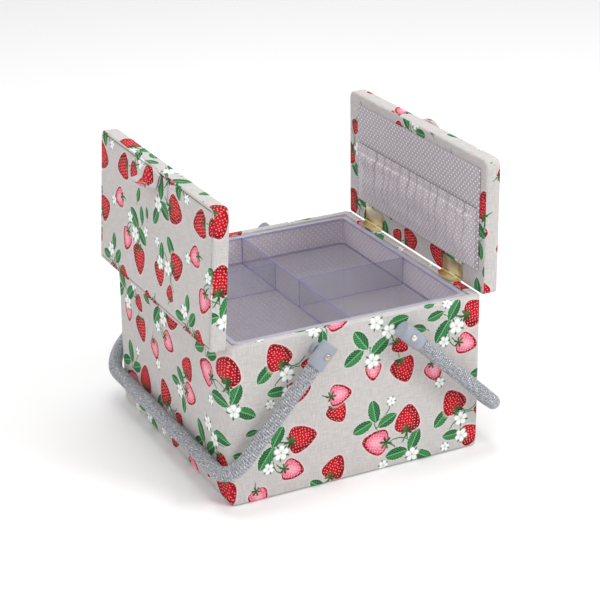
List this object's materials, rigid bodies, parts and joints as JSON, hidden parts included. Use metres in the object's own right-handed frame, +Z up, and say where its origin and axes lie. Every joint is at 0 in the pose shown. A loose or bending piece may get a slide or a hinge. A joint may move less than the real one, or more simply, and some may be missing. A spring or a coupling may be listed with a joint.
{
  "type": "sewing box",
  "caption": "Square fabric-covered sewing box with twin hinged lids, two swinging bail handles and a clear lift-out divided tray.",
  "frame": {"origin": "middle of the underside, on the surface that the box stands on", "axes": "+X to the right, -Y to the front, +Z up"},
  "size_m": [0.3122, 0.3104, 0.2863],
  "materials": {
    "print_cloth": "light grey linen print with strawberries, leaves and flowers",
    "dotted_cloth": "grey-mauve lining cloth with small white dots",
    "board": "pressed board",
    "clear_plastic": "clear, slightly violet moulded plastic",
    "brass": "bright plated",
    "steel": "bright plated",
    "grey_plastic": "satin grey",
    "grey_cord": "close-wound grey cord"
  },
  "bodies": {
    "box": {"front_wall": "print_cloth", "back_wall": "print_cloth", "left_wall": "print_cloth", "right_wall": "print_cloth", "base_board": "board", "front_lining": "dotted_cloth", "back_lining": "dotted_cloth", "left_lining": "dotted_cloth", "right_lining": "dotted_cloth", "floor_lining": "dotted_cloth", "left_front_rim_leaf": "brass", "left_front_hinge_pin": "brass", "left_front_pivot_bolt": "steel", "left_front_pivot_washer": "steel", "left_front_pivot_nut": "steel", "left_back_rim_leaf": "brass", "left_back_hinge_pin": "brass", "left_back_pivot_bolt": "steel", "left_back_pivot_washer": "steel", "left_back_pivot_nut": "steel", "right_front_rim_leaf": "brass", "right_front_hinge_pin": "brass", "right_front_pivot_bolt": "steel", "right_front_pivot_washer": "steel", "right_front_pivot_nut": "steel", "right_back_rim_leaf": "brass", "right_back_hinge_pin": "brass", "right_back_pivot_bolt": "steel", "right_back_pivot_washer": "steel", "right_back_pivot_nut": "steel"},
    "tray": {"tray": "clear_plastic", "tray_divider_long": "clear_plastic", "tray_divider_right": "clear_plastic", "tray_divider_left": "clear_plastic"},
    "left_lid": {"left_front_lid_leaf": "brass", "left_back_lid_leaf": "brass", "left_lid_board": "board", "left_lid_padding": "print_cloth", "left_lid_lining": "dotted_cloth", "left_lid_pocket": "dotted_cloth", "left_lid_tab": "print_cloth"},
    "left_handle": {"left_handle_front_cap": "grey_plastic", "left_handle_back_cap": "grey_plastic", "left_handle_bail": "grey_cord"},
    "right_lid": {"right_front_lid_leaf": "brass", "right_back_lid_leaf": "brass", "right_lid_board": "board", "right_lid_padding": "print_cloth", "right_lid_lining": "dotted_cloth", "right_lid_pocket": "dotted_cloth", "right_lid_tab": "print_cloth"},
    "right_handle": {"right_handle_front_cap": "grey_plastic", "right_handle_back_cap": "grey_plastic", "right_handle_bail": "grey_cord"}
  },
  "joints": [
    {"name": "left_lid_hinge", "type": "hinge", "parent": "box", "child": "left_lid", "pos_m": [-0.13, 0, 0.1573], "axis": [0, 1, 0], "range_deg": [0, 86.5]},
    {"name": "right_lid_hinge", "type": "hinge", "parent": "box", "child": "right_lid", "pos_m": [0.13, 0, 0.1573], "axis": [0, -1, 0], "range_deg": [0, 90]},
    {"name": "left_handle_swing", "type": "hinge", "parent": "box", "child": "left_handle", "pos_m": [-0.044, 0, 0.1396], "axis": [0, 1, 0], "range_deg": [0, 80]},
    {"name": "right_handle_swing", "type": "hinge", "parent": "box", "child": "right_handle", "pos_m": [0.044, 0, 0.1396], "axis": [0, -1, 0], "range_deg": [-4, 76]},
    {"name": "tray_lift", "type": "slide", "parent": "box", "child": "tray", "axis": [0, 0, -1], "range_m": [-0.165, 0]}
  ]
}
